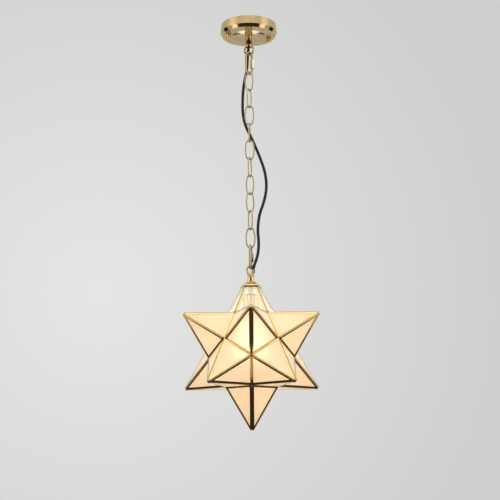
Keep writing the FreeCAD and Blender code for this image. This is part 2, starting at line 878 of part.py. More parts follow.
def cap_vault(name, inset):
    """A pentagonal vault that narrows from the rim up to the flange, drawn in by inset."""
    rim = f"(dims.cap_rim_radius - ({inset}))"
    height = f"(dims.cap_height - ({inset}))"
    sections = []
    for up, wide in VAULT_PROFILE:
        ring = primitive("RegularPolygon", name + "_section", Circumradius=f"{rim} * {wide}")
        ring.Polygon = 5
        ring.Placement = Placement(Vector(0, 0, value(f"{height} * {up}")), Rotation(Z, 18))
        sections.append(ring)
    loft = doc.addObject("Part::Loft", name)
    loft.Sections = sections
    loft.Solid = True
    loft.Ruled = False
    return loft


def make_cap():
    shell = cut("cap_shell", cap_vault("cap_outside", "0"), cap_vault("cap_inside", "dims.cap_wall"))
    bore = "dims.nipple_radius + dims.thread_fit"
    hole = cylinder("cap_hole", bore, "dims.cap_height + dims.cap_wall")
    sub_part(cut("cap_bored", shell, hole), "star_cap", at(CAP_RIM))

    locknut = nut("cap_nut", "dims.locknut_across_corners", "dims.locknut_height", bore)
    below_plate = FLANGE_FOOT - size("cap_wall") - size("locknut_height")
    sub_part(locknut, "cap_locknut", at(below_plate))


def make_lampholder():
    """A keyless brass lampholder on the threaded tube, with its liner, screw shell and contact."""
    radius, wall = "dims.holder_radius", "dims.holder_wall"
    bore = "dims.nipple_radius + dims.thread_fit"
    cap = "dims.holder_cap_height"
    body = f"dims.holder_length - {cap}"
    foot = HOLDER_TOP - size("holder_length")
    holder_cap = turned(
        "holder_cap",
        [
            (bore, cap),
            (bore, f"{cap} - {wall}"),
            (f"{radius} * 0.55", f"{cap} - {wall}"),
            (f"{radius} - {wall} * 2", f"{cap} * 0.57"),
            (f"{radius} - {wall}", "0"),
            (radius, "0"),
            (radius, f"{wall} * 2"),
            (f"{radius} - {wall}", f"{cap} * 0.64"),
            (f"{radius} * 0.6", f"{cap} - {wall} * 0.25"),
            (f"{radius} * 0.52", cap),
        ],
    )
    sub_part(holder_cap, "socket_cap", at(HOLDER_TOP - size("holder_cap_height")))

    shell = turned(
        "holder_shell",
        [
            (f"{radius} - {wall}", "0"),
            (radius, "0"),
            (radius, body),
            (f"{radius} - {wall}", body),
        ],
    )
    sub_part(shell, "socket_shell", at(foot))

    block = "dims.liner_block_height"
    liner_outer = f"{radius} - {wall} - dims.liner_fit"
    liner_inner = f"{liner_outer} - dims.liner_wall"
    screw_top = f"{body} - {block}"
    liner = turned(
        "holder_liner",
        [
            (liner_inner, "dims.liner_lip"),
            (liner_outer, "dims.liner_lip"),
            (liner_outer, body),
            ("0", body),
            ("0", screw_top),
            (liner_inner, screw_top),
        ],
    )
    sub_part(liner, "socket_liner", at(foot))

    screw, screw_wall = "dims.screw_shell_radius", "dims.screw_shell_wall"
    screw_foot = "dims.liner_lip * 3"
    screw_shell = turned(
        "holder_screw_shell",
        [
            (f"{screw} - {screw_wall}", screw_foot),
            (screw, screw_foot),
            (screw, screw_top),
            ("dims.contact_radius * 2", screw_top),
            ("dims.contact_radius * 2", f"{screw_top} - {screw_wall}"),
            (f"{screw} - {screw_wall}", f"{screw_top} - {screw_wall}"),
        ],
    )
    sub_part(screw_shell, "socket_screw_shell", at(foot))

    contact_radius, contact_height = "dims.contact_radius", "dims.contact_height"
    contact = turned(
        "holder_contact",
        [
            ("0", "0"),
            (f"{contact_radius} * 0.6", "0"),
            (contact_radius, f"{contact_height} * 0.46"),
            (contact_radius, contact_height),
            ("0", contact_height),
        ],
    )
    contact_foot = foot + value(screw_top) - size("contact_height")
    sub_part(contact, "socket_contact", at(contact_foot))
    return foot, contact_foot


def make_lamp(holder_foot, contact_foot):
    """A round frosted lamp screwed up into the lampholder."""
    base_top = contact_foot - size("eyelet_height") + size("eyelet_seat") - size("lamp_gap")
    neck = holder_foot + size("lamp_gap") * 10
    base_height = str(base_top - neck)
    outer, wall, eyelet_radius = "dims.lamp_base_radius", "dims.lamp_base_wall", "dims.eyelet_radius"
    skirt = "dims.lamp_skirt_height"
    shoulder, crown = "dims.lamp_base_radius * 0.65", "dims.lamp_base_radius * 0.585"
    base = turned(
        "lamp_base",
        [
            (f"{outer} - {wall} * 1.75", "0"),
            (outer, "0"),
            (outer, f"{base_height} - dims.lamp_shoulder_height"),
            (shoulder, base_height),
            (f"{eyelet_radius} + dims.lamp_gap", base_height),
            (f"{eyelet_radius} + dims.lamp_gap", f"{base_height} - dims.eyelet_seat"),
            (crown, f"{base_height} - dims.eyelet_seat"),
            (f"{outer} - {wall}", f"{base_height} - dims.lamp_shoulder_height - {wall}"),
            (f"{outer} - {wall}", skirt),
            (f"{outer} - {wall} * 1.75", skirt),
        ],
    )
    sub_part(base, "lamp_base", at(neck))

    eyelet = turned(
        "lamp_eyelet",
        [
            ("0", "0"),
            (eyelet_radius, "0"),
            (eyelet_radius, "dims.eyelet_seat"),
            (f"{eyelet_radius} * 0.7", "dims.eyelet_height"),
            ("0", "dims.eyelet_height"),
        ],
    )
    sub_part(eyelet, "lamp_contact", at(base_top - size("eyelet_seat")))

    centre = STAR_CENTRE + size("lamp_centre")
    neck_height = neck - centre
    skins = []
    for name, inset in (("lamp_outside", "0"), ("lamp_inside", "dims.lamp_wall")):
        ball = primitive("Sphere", name + "_ball", Radius=f"dims.lamp_radius - {inset}")
        throat_foot = value("dims.lamp_radius * 0.27")
        throat = primitive(
            "Cone",
            name + "_throat",
            Radius1=f"dims.lamp_radius * 0.96 - {inset}",
            Radius2=f"dims.lamp_neck_radius - {inset}",
            Height=str(neck_height - throat_foot),
        )
        throat.Placement = at(throat_foot)
        tube_height = f"{skirt} - dims.lamp_wall / 2"
        neck_tube = cylinder(name + "_neck", f"dims.lamp_neck_radius - {inset}", tube_height)
        neck_tube.Placement = at(neck_height)
        skins.append(fuse(name, [ball, throat, neck_tube]))
    globe = cut("lamp_globe_shell", *skins)
    sub_part(globe, "lamp_globe", at(centre))


# ---------------------------------------------------------------- star

# Each of the 12 core faces carries a point. A point's five panes lie in the planes of the five
# faces round it, so a pane is drawn once, in its plane, with X towards the tip: a triangle of
# 36 degrees at the tip whose base lies on the core's edge.
SHARP = "(dims.star_radius + dims.tip_blunt)"
FACE_OUT = f"({SHARP} / sqrt(5))"
FACE_IN = f"({FACE_OUT} - dims.came_thickness)"
APEX = f"(2 * {FACE_IN})"
VALLEY = f"({FACE_OUT} * (sqrt(5) - 1) / 2)"
TIP_CUT = "(dims.star_radius - dims.tip_bead_height)"
AXIS_TILT = math.degrees(math.acos(1 / math.sqrt(5)))  # between a point's axis and its panes' normals
HALF_RIDGE = AXIS_TILT / 2  # between a ridge's middle plane and the panes' normals beside it


def pane_plate(name, inset, low, thickness):
    """A pane's triangle drawn in by inset on all sides, from a distance low off the star's centre."""
    apex = f"({APEX} - ({inset}) / sin(18))"
    base = f"({VALLEY} + ({inset}))"
    half = f"(({apex} - {base}) * tan(18))"
    body = plate(name, [(base, f"-{half}"), (apex, "0"), (base, half)], thickness)
    body.Placement = at(value(low))
    return body


def beyond(name, axis, distance):
    """A block that fills the space past a distance along an axis from the star's centre."""
    reach = size("star_radius")
    block = primitive("Box", name)
    for side in ("Length", "Width", "Height"):
        block.setExpression(side, "dims.star_radius")
    turn = Rotation(Z, axis)
    corner = turn.multVec(Vector(-reach / 2, -reach / 2, distance))
    block.Placement = Placement(corner, turn)
    return block


def make_pane_masters(tip_cut):
    """One came frame and its glass, cut off square to the point's axis at tip_cut."""
    axis = Vector(2 / math.sqrt(5), 0, 1 / math.sqrt(5))
    pocket_low = f"({FACE_OUT} - dims.came_thickness / 2 - dims.glass_thickness / 2 - dims.glass_fit / 2)"
    glass_low = f"({FACE_OUT} - dims.came_thickness / 2 - dims.glass_thickness / 2)"
    blank = pane_plate("came_blank", "0", FACE_IN, "dims.came_thickness")
    window = pane_plate("came_window", "dims.came_face", f"{FACE_IN} - 1", "dims.came_thickness + 2")
    pocket = pane_plate(
        "came_pocket", "dims.came_web", pocket_low, "dims.glass_thickness + dims.glass_fit"
    )
    came = cut("came", blank, fuse("came_hollow", [window, pocket]))
    glass = pane_plate("glass", "dims.came_web + dims.glass_fit", glass_low, "dims.glass_thickness")
    trimmed_came = cut("came_trimmed", came, beyond("came_end", axis, tip_cut))
    trimmed_glass = cut("glass_trimmed", glass, beyond("glass_end", axis, tip_cut))
    return trimmed_came, trimmed_glass


def make_bead_master(tip_cut):
    """A bead of solder that fills the groove along one ridge, with X down the ridge."""
    wall = "dims.came_thickness"
    across = f"({wall} * sin({HALF_RIDGE}))"
    up = f"({wall} * cos({HALF_RIDGE}))"
    round_top = f"(({across} ^ 2 + dims.bead_bulge ^ 2) / (2 * dims.bead_bulge))"
    body = doc.addObject("PartDesign::Body", "bead")
    sketch = outline(
        body,
        "YZ_Plane",
        [("0", "0"), (across, up), (f"-{across}", up)],
        arcs=[(1, round_top)],
    )
    pad = body.newObject("PartDesign::Pad", "bead_pad")
    pad.Profile = sketch
    pad.setExpression("Length", f"({APEX} - {VALLEY}) / cos(18) - dims.bead_stop")
    body.Tip = pad
    # the ridge leaves the sharp inner tip, which lies on the point's axis
    cosine = math.cos(math.radians(HALF_RIDGE))
    axis = Vector(-cosine, 0, math.sqrt(1 - cosine**2))
    inner_tip = value(f"{FACE_IN} * sqrt(5)")
    return cut("bead_trimmed", body, beyond("bead_end", axis, tip_cut - inner_tip))


def star_axes():
    """The 12 points' directions and names: top, upper ring, lower ring and bottom."""
    level, out = 1 / math.sqrt(5), 2 / math.sqrt(5)
    axes = [("top", Z)]
    for ring, first, up in (("upper", -90, level), ("lower", -54, -level)):
        for k in range(5):
            turn = math.radians(first + 72 * k)
            axis = Vector(out * math.cos(turn), out * math.sin(turn), up)
            axes.append((f"{ring}_{k + 1}", axis))
    axes.append(("bottom", -Z))
    return axes


def neighbours(axis, axes):
    """The five face normals round a point's axis, in order round it."""
    near = [n for _, n in axes if abs(n.dot(axis) - 1 / math.sqrt(5)) < 1e-6]
    start = (near[0] - axis * near[0].dot(axis)).normalize()
    side = axis.cross(start)
    return sorted(near, key=lambda n: math.atan2(n.dot(side), n.dot(start)))


def pane_place(axis, normal):
    """Puts the pane drawn in XY, with X towards the tip, into the plane of a face."""
    towards = (axis - normal * axis.dot(normal)).normalize()
    turn = Rotation(towards, normal.cross(towards), normal, "ZXY")
    return Placement(Vector(0, 0, STAR_CENTRE), turn)


def bead_place(axis, normal, after):
    """Puts the ridge bead between two panes of a point."""
    middle = (normal + after).normalize()
    along = normal.cross(after).normalize()
    if along.dot(axis) > 0:
        along = -along
    turn = Rotation(along, middle.cross(along), middle, "ZXY")
    inner_tip = axis * value(f"{FACE_IN} * sqrt(5)")
    return Placement(Vector(0, 0, STAR_CENTRE) + inner_tip, turn)


def placed(master, place):
    shape = master.Shape.copy()
    shape.Placement = place * shape.Placement
    return shape


def group(label, shapes):
    """A group of equal solids that share one name."""
    obj = doc.addObject("Part::Feature", label + "_group")
    obj.Shape = Part.Compound(shapes)
    sub_part(obj, label)


def make_star():
    tip_cut = value(TIP_CUT)
    crown_cut = size("crown_height")
    masters = {
        "point": (*make_pane_masters(tip_cut), make_bead_master(tip_cut)),
        "crown": (*make_pane_masters(crown_cut), make_bead_master(crown_cut)),
    }
    height = "dims.tip_bead_height"
    radius = "dims.tip_bead_radius"
    tip = turned(
        "tip_bead",
        [
            ("0", "0"),
            (radius, "0"),
            (radius, f"{height} * 0.3"),
            (f"{radius} * 0.78", f"{height} * 0.62"),
            (f"{radius} * 0.4", f"{height} * 0.8"),
            (f"{radius} * 0.22", height),
            ("0", height),
        ],
    )
    doc.recompute()
    axes = star_axes()
    cames = {"top": [], "upper": [], "lower": [], "bottom": []}
    beads = []
    tips = []
    for name, axis in axes:
        came, glass, bead = masters["crown" if name == "top" else "point"]
        ring = neighbours(axis, axes)
        panes = []
        for normal, after in zip(ring, ring[1:] + ring[:1]):
            place = pane_place(axis, normal)
            panes.append(placed(glass, place))
            cames[name.split("_")[0]].append(placed(came, place))
            beads.append(placed(bead, bead_place(axis, normal, after)))
        group(f"panes_{name}", panes)
        if name != "top":
            spot = Placement(Vector(0, 0, STAR_CENTRE) + axis * tip_cut, Rotation(Z, axis))
            tips.append(placed(tip, spot))
    for ring, shapes in cames.items():
        group(f"cames_{ring}", shapes)
    group("ridge_solder", beads)
    group("tip_solder", tips)


# ---------------------------------------------------------------- build, check and write

make_canopy()
make_crossbar()
make_studs()
cord_top = make_canopy_fittings()
make_canopy_loop()
for which in QUICK_LINK_TURNS:
    make_quick_link(which)
make_chain()
make_cord(cord_top)
make_leads(cord_top)
make_star_loop()
make_cap()
make_lamp(*make_lampholder())
make_star()
doc.recompute()

for obj in doc.Objects:
    if {"Invalid", "Error"} & set(obj.State):
        raise RuntimeError(f"{obj.Label} failed: {obj.State}")
for obj in SUB_PARTS:
    shape = obj.Shape
    if shape.isNull() or not shape.isValid() or not shape.Solids:
        raise RuntimeError(f"{obj.Label} has no valid solid")
for obj in SUB_PARTS:
    obj.Shape.exportStep(f"parts/{obj.Label}.step")
print(len(SUB_PARTS), "sub-parts, star centre", round(STAR_CENTRE, 2))
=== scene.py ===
"""Looks of the moravian star pendant: brass, frosted glass lit from inside and given a painted glow, a clear crown
with a faint painted glow, and a black cord.

The frame is in metres, with the ceiling at Z = 0 and the front at -Y.
"""

import itertools
import json
import math

import bmesh
import bpy
import numpy as np
from mathutils import Matrix, Vector


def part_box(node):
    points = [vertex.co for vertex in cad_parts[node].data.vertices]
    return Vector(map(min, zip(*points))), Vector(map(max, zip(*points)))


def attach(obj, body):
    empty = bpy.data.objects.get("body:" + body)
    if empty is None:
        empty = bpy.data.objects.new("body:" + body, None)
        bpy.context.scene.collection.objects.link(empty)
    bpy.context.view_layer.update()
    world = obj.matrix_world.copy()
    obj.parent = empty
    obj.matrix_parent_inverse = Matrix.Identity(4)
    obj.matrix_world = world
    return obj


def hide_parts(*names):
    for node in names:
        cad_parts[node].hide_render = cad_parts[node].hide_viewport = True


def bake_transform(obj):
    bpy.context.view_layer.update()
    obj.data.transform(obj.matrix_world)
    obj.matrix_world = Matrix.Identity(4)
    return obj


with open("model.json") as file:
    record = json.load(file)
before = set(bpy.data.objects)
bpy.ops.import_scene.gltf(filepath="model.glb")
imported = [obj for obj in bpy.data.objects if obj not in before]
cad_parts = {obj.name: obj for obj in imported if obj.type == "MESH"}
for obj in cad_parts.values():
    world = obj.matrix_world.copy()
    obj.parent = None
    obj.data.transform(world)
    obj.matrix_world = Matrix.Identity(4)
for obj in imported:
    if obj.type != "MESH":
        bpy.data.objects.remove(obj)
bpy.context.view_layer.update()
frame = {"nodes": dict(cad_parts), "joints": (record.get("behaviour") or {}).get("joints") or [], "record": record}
nodes = frame["nodes"]

MM = 0.001

# ---------------------------------------------------------------- objects


def add_object(name, data):
    obj = bpy.data.objects.new(name, data)
    bpy.context.scene.collection.objects.link(obj)
    return obj


def add_mesh(name, vertices, faces, material):
    mesh = bpy.data.meshes.new(name)
    mesh.from_pydata([tuple(v) for v in vertices], [], faces)
    mesh.materials.append(material)
    return add_object(name, mesh)


def rectangle(width, height, z=0.0):
    """The corners and the one face of a level rectangle round the Z axis."""
    w, h = width / 2, height / 2
    return [(-w, -h, z), (w, -h, z), (w, h, z), (-w, h, z)], [(0, 1, 2, 3)]


def aimed(place, target):
    """The matrix that puts an object at place with its -Z axis towards target."""
    away = Vector(place) - Vector(target)
    return Matrix.Translation(place) @ away.to_track_quat("Z", "Y").to_matrix().to_4x4()


# ---------------------------------------------------------------- camera

IMAGE_WIDTH = 500
FOCAL_PIXELS = 1202.0
SENSOR_WIDTH = 36.0
CLIP_NEAR, CLIP_FAR = 0.05, 60.0
CAMERA_PLACE = Vector((-0.0012, -2.402, -0.989))
CAMERA_PITCH = 11.82
CAMERA_ROLL = 0.51


def make_camera():
    data = bpy.data.cameras.new("camera")
    data.sensor_width = SENSOR_WIDTH
    data.lens = FOCAL_PIXELS / IMAGE_WIDTH * SENSOR_WIDTH
    data.clip_start = CLIP_NEAR
    data.clip_end = CLIP_FAR
    camera = add_object("camera", data)
    upright = Matrix.Rotation(math.radians(90 + CAMERA_PITCH), 4, "X")
    roll = Matrix.Rotation(math.radians(-CAMERA_ROLL), 4, "Z")
    camera.matrix_world = Matrix.Translation(CAMERA_PLACE) @ upright @ roll
    bpy.context.scene.camera = camera


make_camera()
bpy.context.scene.view_settings.view_transform = "Standard"

# ---------------------------------------------------------------- node helpers


class Graph:
    """A node tree with short ways to add nodes to it.

    Sockets go by name, with _ for a space. A source is another node's output or a constant.
    """

    def __init__(self, tree):
        self.tree = tree

    def feed(self, socket, source):
        if isinstance(source, bpy.types.NodeSocket):
            self.tree.links.new(source, socket)
        else:
            socket.default_value = source

    def node(self, kind, **inputs):
        made = self.tree.nodes.new("ShaderNode" + kind)
        for name, source in inputs.items():
            self.feed(made.inputs[name.replace("_", " ")], source)
        return made

    def math(self, operation, *sources, kind="Math"):
        """A number worked out from the sources, in their order."""
        made = self.node(kind)
        made.operation = operation
        for socket, source in zip(made.inputs, sources):
            self.feed(socket, source)
        return made.outputs["Value"]

    def spread(self, fac, low, high, start=0.3, end=0.7):
        """A number from low to high as fac goes from start to end."""
        limits = {"From_Min": start, "From_Max": end, "To_Min": low, "To_Max": high}
        return self.node("MapRange", Value=fac, **limits).outputs[0]

    def any_ray(self, *kinds):
        """1 for a ray of any of the kinds and 0 for the others."""
        path = self.node("LightPath").outputs
        seen = path[kinds[0]]
        for kind in kinds[1:]:
            seen = self.math("MAXIMUM", seen, path[kind])
        return seen


class Shader(Graph):
    """A material with one Principled shader."""

    def __init__(self, name, color, roughness, **sockets):
        self.material = bpy.data.materials.new(name)
        self.material.use_nodes = True
        super().__init__(self.material.node_tree)
        self.principled = self.tree.nodes["Principled BSDF"]
        self.set(Base_Color=(*color, 1.0), Roughness=roughness, **sockets)

    def set(self, **sockets):
        """Feeds the shader's own sockets."""
        for name, source in sockets.items():
            self.feed(self.principled.inputs[name.replace("_", " ")], source)

    def place(self):
        return self.node("TexCoord").outputs["Object"]

    def noise(self, scale, detail=3.0, stretch=None):
        where = self.place()
        if stretch is not None:
            where = self.node("Mapping", Vector=where, Scale=stretch).outputs[0]
        return self.node("TexNoise", Vector=where, Scale=scale, Detail=detail).outputs["Fac"]

    def ramp(self, fac, *stops):
        """The colour at fac, between two stops of (position, colour)."""
        made = self.node("ValToRGB", Fac=fac)
        for element, (at, color) in zip(made.color_ramp.elements, stops):
            element.position = at
            element.color = (*color, 1.0)
        return made.outputs["Color"]

    def bump(self, height, distance):
        self.set(Normal=self.node("Bump", Height=height, Distance=distance).outputs[0])


def shade(color, factor):
    return tuple(min(1.0, channel * factor) for channel in color)


# ---------------------------------------------------------------- materials

# The cames' own box gives the star's centre, and the lowest tip its radius.
STAR_CENTRE = (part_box("cames_upper")[1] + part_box("cames_lower")[0]) / 2
STAR_CENTRE.x = STAR_CENTRE.y = 0
STAR_RADIUS = STAR_CENTRE.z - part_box("tip_solder")[0].z

CAME_BRASS = (0.74, 0.56, 0.27)
CANOPY_BRASS = (0.65, 0.49, 0.24)
CHAIN_BRASS = (0.60, 0.49, 0.28)
LAMPHOLDER_BRASS = (0.80, 0.72, 0.52)
SATIN_EXTRA = 0.24
LAMP_GLOW = 4.0
# Painted glow of the frosted panes: light of their own that stands in for the lamp's light through them.
PAINTED_PANE_GLOW = 0.2
# Painted glow of the crown's clear glass, which is no lamp.
PAINTED_CROWN_GLOW = 0.15


def brass(name, color, rough=(0.07, 0.16), satin_above=None):
    """Polished and lacquered brass: faint waves in the polish, wipe marks and a fine grain.

    Above the height satin_above, if one is given, the metal is satin.
    """
    shader = Shader(name, color, 0.12, Metallic=1.0, Coat_Weight=0.25, Coat_Roughness=0.08)
    wipe_marks = shader.noise(scale=180, detail=4, stretch=(1, 1, 0.3))
    roughness = shader.spread(wipe_marks, *rough)
    if satin_above is not None:
        height = shader.node("SeparateXYZ", Vector=shader.place()).outputs["Z"]
        half = 0.5 * MM
        satin = shader.spread(height, 0.0, SATIN_EXTRA, satin_above - half, satin_above + half)
        roughness = shader.math("ADD", roughness, satin)
    tarnish = shader.noise(scale=45, detail=2)
    tone = shader.ramp(tarnish, (0.35, shade(color, 0.9)), (0.65, shade(color, 1.06)))
    shader.set(Roughness=roughness, Base_Color=tone)
    waves = shader.noise(scale=90, detail=1)
    grain = shader.noise(scale=1400, detail=2)
    shader.bump(shader.math("MULTIPLY_ADD", grain, 0.08, waves), distance=0.05 * MM)
    return shader.material


def solder():
    """Brass-plated solder, run by hand: soft lumps along the seam."""
    shader = Shader("solder", (0.74, 0.56, 0.26), 0.16, Metallic=1.0, Coat_Weight=0.2)
    shader.set(Roughness=shader.spread(shader.noise(scale=420), 0.09, 0.24))
    shader.bump(shader.noise(scale=160, detail=2), distance=0.35 * MM)
    return shader.material


def frosted_glass():
    """Frosted panes lit from inside, with a painted glow on top of the lamp's light: the painted glow dims a
    little with the distance from the centre.
    """
    shader = Shader("frosted_glass", (0.96, 0.84, 0.68), 0.42, Transmission_Weight=0.55, IOR=1.5)
    # The painted glow: a little dimmer towards the tips of the points, with a faint mottle.
    away = shader.math("DISTANCE", shader.place(), STAR_CENTRE, kind="VectorMath")
    share = shader.spread(away, 0.0, 1.0, start=0.5 * STAR_RADIUS, end=STAR_RADIUS)
    painted_glow_fac = shader.math("MULTIPLY_ADD", shader.noise(scale=38), 0.14, share)
    glow = shader.ramp(painted_glow_fac, (0.35, (1.0, 0.81, 0.54)), (1.0, (0.97, 0.78, 0.53)))
    shader.set(Emission_Color=glow, Emission_Strength=PAINTED_PANE_GLOW)
    shader.set(Roughness=shader.spread(shader.noise(scale=900, detail=2), 0.36, 0.5))
    shader.bump(shader.noise(scale=2200, detail=2), distance=0.02 * MM)
    return shader.material


def clear_glass():
    """Clear float glass with the faintest ripple, a few specks and a faint painted glow."""
    shader = Shader("clear_glass", (0.97, 0.95, 0.88), 0.05, Transmission_Weight=0.8, IOR=1.3)
    # A faint painted glow: the clear glass gives off light of its own.
    shader.set(Emission_Color=(0.95, 0.90, 0.72, 1.0), Emission_Strength=PAINTED_CROWN_GLOW)
    specks = shader.noise(scale=700, detail=2)
    shader.set(Roughness=shader.spread(specks, 0.03, 0.12, start=0.5, end=0.8))
    shader.bump(shader.noise(scale=28, detail=1), distance=0.03 * MM)
    return shader.material


def cord_jacket():
    """Black jacket with the twist of its cores showing through."""
    shader = Shader("cord_jacket", (0.008, 0.008, 0.009), 0.5)
    shader.set(Roughness=shader.spread(shader.noise(scale=300), 0.42, 0.6))
    twist = shader.node("TexWave", Vector=shader.place(), Scale=95.0, Distortion=1.5)
    twist.bands_direction = "DIAGONAL"
    shader.bump(twist.outputs["Fac"], distance=0.12 * MM)
    return shader.material


def plastic(name, color, roughness):
    shader = Shader(name, color, roughness)
    worn = shader.spread(shader.noise(scale=500), roughness - 0.08, roughness + 0.08)
    shader.set(Roughness=worn)
    shader.bump(shader.noise(scale=1800, detail=2), distance=0.02 * MM)
    return shader.material


def plated_steel(name, color):
    """Plated metal with the cloudy spangle of the plating."""
    shader = Shader(name, color, 0.34, Metallic=1.0)
    cloud = shader.noise(scale=240)
    shader.set(
        Base_Color=shader.ramp(cloud, (0.35, shade(color, 0.82)), (0.7, color)),
        Roughness=shader.spread(cloud, 0.26, 0.46),
    )
    shader.bump(shader.noise(scale=1500, detail=2), distance=0.02 * MM)
    return shader.material


def lamp_glass():
    """The lamp's frosted globe, lit."""
    shader = Shader("lamp_glass", (1.0, 0.93, 0.82), 0.5)
    cloud = shader.noise(scale=20, detail=1)
    glow = shader.ramp(cloud, (0.3, (1.0, 0.80, 0.52)), (0.7, (1.0, 0.86, 0.60)))
    shader.set(Emission_Color=glow, Emission_Strength=LAMP_GLOW)
    shader.set(Roughness=shader.spread(shader.noise(scale=600, detail=2), 0.4, 0.6))
    return shader.material


MATERIALS = {
    "polished_brass": brass("polished_brass", CAME_BRASS),
    "solder": solder(),
    "frosted_glass": frosted_glass(),
    "clear_glass": clear_glass(),
    "black_cord": cord_jacket(),
    "grey_core": plastic("grey_core", (0.45, 0.44, 0.42), 0.35),
    "black_plastic": plastic("black_plastic", (0.02, 0.02, 0.02), 0.35),
    "orange_plastic": plastic("orange_plastic", (0.75, 0.26, 0.04), 0.35),
    "zinc_steel": plated_steel("zinc_steel", (0.60, 0.60, 0.57)),
    "green_screw": plated_steel("green_screw", (0.05, 0.32, 0.12)),
    "fibre_liner": plastic("fibre_liner", (0.45, 0.36, 0.24), 0.6),
    "brass_plain": brass("brass_plain", LAMPHOLDER_BRASS, rough=(0.22, 0.34)),
    "lamp_aluminium": plated_steel("lamp_aluminium", (0.74, 0.74, 0.73)),
    "lamp_glass": lamp_glass(),
}

# Two finishes differ from their slot's: the canopy's wall is satin above its bright bevel, and
# the chain's lacquer is paler than the cames'.
BEVEL_RISE = 6.6 * MM
BEVEL_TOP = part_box("canopy_shell")[0].z + BEVEL_RISE
FINISHES = {"canopy_shell": brass("canopy_brass", CANOPY_BRASS, satin_above=BEVEL_TOP)}
CHAIN_FINISH = brass("chain_brass", CHAIN_BRASS)
for name in nodes:
    if name.startswith(("chain_link", "quick_link")):
        FINISHES[name] = CHAIN_FINISH

for entry in frame["record"]["subparts"]:
    mesh = nodes[entry["node"]].data
    mesh.materials.clear()
    mesh.materials.append(FINISHES.get(entry["node"], MATERIALS[entry["material_slot"]]))

# ---------------------------------------------------------------- cord

CORD_DIAMETER = 5.9 * MM
CORD_SIDES = 20
RING_STEP = 1.2 * MM
LEAST_RINGS = 8
ROUTE_FINENESS = 24
# The first length ends beside the quick link; the others share the rest evenly.
FIRST_LENGTH = 0.0748
# The same points as the part's route in millimetres, from inside the canopy to the star's ring.
CORD_ROUTE = (
    (0.0, 0.0, -12.5),
    (0.0, 0.0, -27.0),
    (0.0, 0.25, -44.5),
    (-2.6, 8.4, -65.0),
    (-4.0, 9.6, -96.0),
    (-11.4, 9.4, -126.0),
    (-14.2, 7.2, -163.0),
    (-13.8, 6.0, -199.0),
    (-6.6, 5.4, -225.0),
    (3.0, 2.6, -245.0),
    (12.8, 6.0, -267.0),
    (22.6, 4.4, -293.0),
    (31.6, 2.8, -321.0),
    (34.8, 1.8, -354.0),
    (28.8, 1.2, -385.0),
    (18.4, 1.0, -412.0),
    (14.6, 0.4, -444.0),
    (17.4, -1.0, -474.0),
    (14.3, -4.6, -500.0),
    (7.9, -6.2, -517.5),
    (4.7, -4.0, -527.4),
)
# The bodies that the cord hangs beside, from the top down.
HANGERS = ["canopy", "upper_quick_link"]
HANGERS += [f"link_{n:02d}" for n in range(1, 11)]
HANGERS += ["lower_quick_link", "star"]


def route_line():
    """The route's smooth line as close points, read off its NURBS spline."""
    curve = bpy.data.curves.new("cord_route", "CURVE")
    curve.dimensions = "3D"
    curve.resolution_u = ROUTE_FINENESS
    spline = curve.splines.new("NURBS")
    spline.points.add(len(CORD_ROUTE) - 1)
    for point, place in zip(spline.points, CORD_ROUTE):
        point.co = (*(c * MM for c in place), 1.0)
    spline.order_u = 3
    spline.use_endpoint_u = True
    holder = bpy.data.objects.new("cord_route", curve)
    mesh = bpy.data.meshes.new_from_object(holder)
    line = np.array([v.co for v in mesh.vertices], float)
    bpy.data.objects.remove(holder)
    bpy.data.meshes.remove(mesh)
    return line


def steps_of(line):
    return np.linalg.norm(np.diff(line, axis=0), axis=1)


def evenly(line, first, last):
    """Points of the line at even distances, between two distances along it."""
    along = np.concatenate([[0], np.cumsum(steps_of(line))])
    count = max(LEAST_RINGS, round((last - first) / RING_STEP) + 1)
    marks = np.linspace(first, last, count)
    return np.column_stack([np.interp(marks, along, line[:, k]) for k in range(3)])


def tube(name, line, radius, material):
    """A closed round tube along close points, with no twist."""
    tangents = np.gradient(line, axis=0)
    tangents /= np.linalg.norm(tangents, axis=1)[:, None]
    side = np.array([1.0, 0.0, 0.0])
    vertices = []
    for point, tangent in zip(line, tangents):
        side = side - tangent * side.dot(tangent)
        side /= np.linalg.norm(side)
        other = np.cross(tangent, side)
        for k in range(CORD_SIDES):
            turn = 2 * math.pi * k / CORD_SIDES
            vertices.append(point + radius * (math.cos(turn) * side + math.sin(turn) * other))
    faces = []
    for ring in range(len(line) - 1):
        for k in range(CORD_SIDES):
            a = ring * CORD_SIDES + k
            b = ring * CORD_SIDES + (k + 1) % CORD_SIDES
            faces.append((a, b, b + CORD_SIDES, a + CORD_SIDES))
    faces.append(tuple(reversed(range(CORD_SIDES))))
    faces.append(tuple(range(len(vertices) - CORD_SIDES, len(vertices))))
    obj = add_mesh(name, vertices, faces, material)
    obj.data.polygons.foreach_set("use_smooth", [len(face) == 4 for face in faces])
    return obj


def make_cord():
    """One cord in 13 lengths, one for each pair of neighbouring bodies in HANGERS."""
    line = route_line()
    total = float(steps_of(line).sum())
    joints = {j["child"]: j["pos_m"][2] for j in frame["joints"] if j["name"].endswith("_swing")}
    pivots = [joints[body] for body in HANGERS[1:]]
    others = len(pivots) - 1
    cuts = [0.0, FIRST_LENGTH]
    cuts += [FIRST_LENGTH + (total - FIRST_LENGTH) * (k + 1) / others for k in range(others)]
    for n, (above, below) in enumerate(zip(HANGERS, HANGERS[1:])):
        points = evenly(line, cuts[n], cuts[n + 1])
        piece = tube(f"cord_{n + 1:02d}", points, CORD_DIAMETER / 2, MATERIALS["black_cord"])
        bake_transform(piece)
        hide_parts("cord")


make_cord()

# ---------------------------------------------------------------- solder at the inner vertices

BEAD_RADIUS = 3.2 * MM
BEAD_FLATNESS = 0.62
# From the star's centre to the outside of the cames at an inner vertex.
VERTEX_RADIUS = 89.6 * MM
